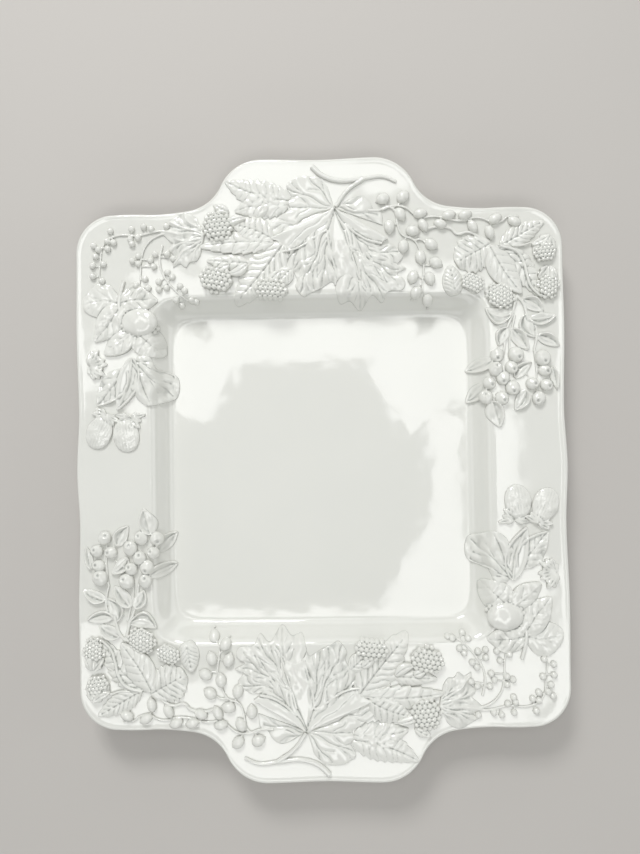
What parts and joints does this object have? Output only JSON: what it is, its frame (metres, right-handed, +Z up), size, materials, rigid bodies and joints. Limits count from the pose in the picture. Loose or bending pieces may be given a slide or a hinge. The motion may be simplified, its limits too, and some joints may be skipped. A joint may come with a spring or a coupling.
{
  "type": "handled ceramic tray",
  "caption": "Glazed white ceramic serving tray with a square well, a broad rim with a solid handle at each end, and a raised border of hedgerow fruit and leaves.",
  "frame": {"origin": "middle of the tray on the surface that it stands on", "axes": "+Z up out of the well, +Y along the tray towards one handle, +X across the tray"},
  "size_m": [0.321, 0.406, 0.034],
  "materials": {
    "white_glaze": "gloss",
    "relief_glaze": "gloss"
  },
  "bodies": {
    "root": {"tray_body": "white_glaze", "bramble_fruit_inner_a": "relief_glaze", "bramble_fruit_inner_b": "relief_glaze", "bramble_fruit_lower_a": "relief_glaze", "bramble_fruit_lower_b": "relief_glaze", "bramble_fruit_upper_a": "relief_glaze", "bramble_fruit_upper_b": "relief_glaze", "bramble_leaf_curled_a": "relief_glaze", "bramble_leaf_curled_b": "relief_glaze", "bramble_leaf_handle_a": "relief_glaze", "bramble_leaf_handle_b": "relief_glaze", "bramble_leaf_inner_a": "relief_glaze", "bramble_leaf_inner_b": "relief_glaze", "bramble_leaf_long_a": "relief_glaze", "bramble_leaf_long_b": "relief_glaze", "elder_leaf_a": "relief_glaze", "elder_leaf_b": "relief_glaze", "elder_spray_inner_a": "relief_glaze", "elder_spray_inner_b": "relief_glaze", "elder_spray_outer_a": "relief_glaze", "elder_spray_outer_b": "relief_glaze", "hazel_spray_lower_a": "relief_glaze", "hazel_spray_lower_b": "relief_glaze", "hazel_spray_upper_a": "relief_glaze", "hazel_spray_upper_b": "relief_glaze", "hazelnut_left_a": "relief_glaze", "hazelnut_left_b": "relief_glaze", "hazelnut_right_a": "relief_glaze", "hazelnut_right_b": "relief_glaze", "rosehip_spray_inner_a": "relief_glaze", "rosehip_spray_inner_b": "relief_glaze", "rosehip_spray_outer_a": "relief_glaze", "rosehip_spray_outer_b": "relief_glaze", "rowan_spray_a": "relief_glaze", "rowan_spray_b": "relief_glaze", "strawberry_bud_a": "relief_glaze", "strawberry_bud_b": "relief_glaze", "strawberry_inner_a": "relief_glaze", "strawberry_inner_b": "relief_glaze", "strawberry_leaf_centre_a": "relief_glaze", "strawberry_leaf_centre_b": "relief_glaze", "strawberry_leaf_corner_a": "relief_glaze", "strawberry_leaf_corner_b": "relief_glaze", "strawberry_leaf_left_a": "relief_glaze", "strawberry_leaf_left_b": "relief_glaze", "strawberry_lower_a": "relief_glaze", "strawberry_lower_b": "relief_glaze", "strawberry_small_a": "relief_glaze", "strawberry_small_b": "relief_glaze", "strawberry_upper_a": "relief_glaze", "strawberry_upper_b": "relief_glaze", "vine_leaf_front_a": "relief_glaze", "vine_leaf_front_b": "relief_glaze", "vine_leaf_left_a": "relief_glaze", "vine_leaf_left_b": "relief_glaze", "vine_leaf_right_a": "relief_glaze", "vine_leaf_right_b": "relief_glaze", "vine_twig_a": "relief_glaze", "vine_twig_b": "relief_glaze"}
  },
  "joints": []
}
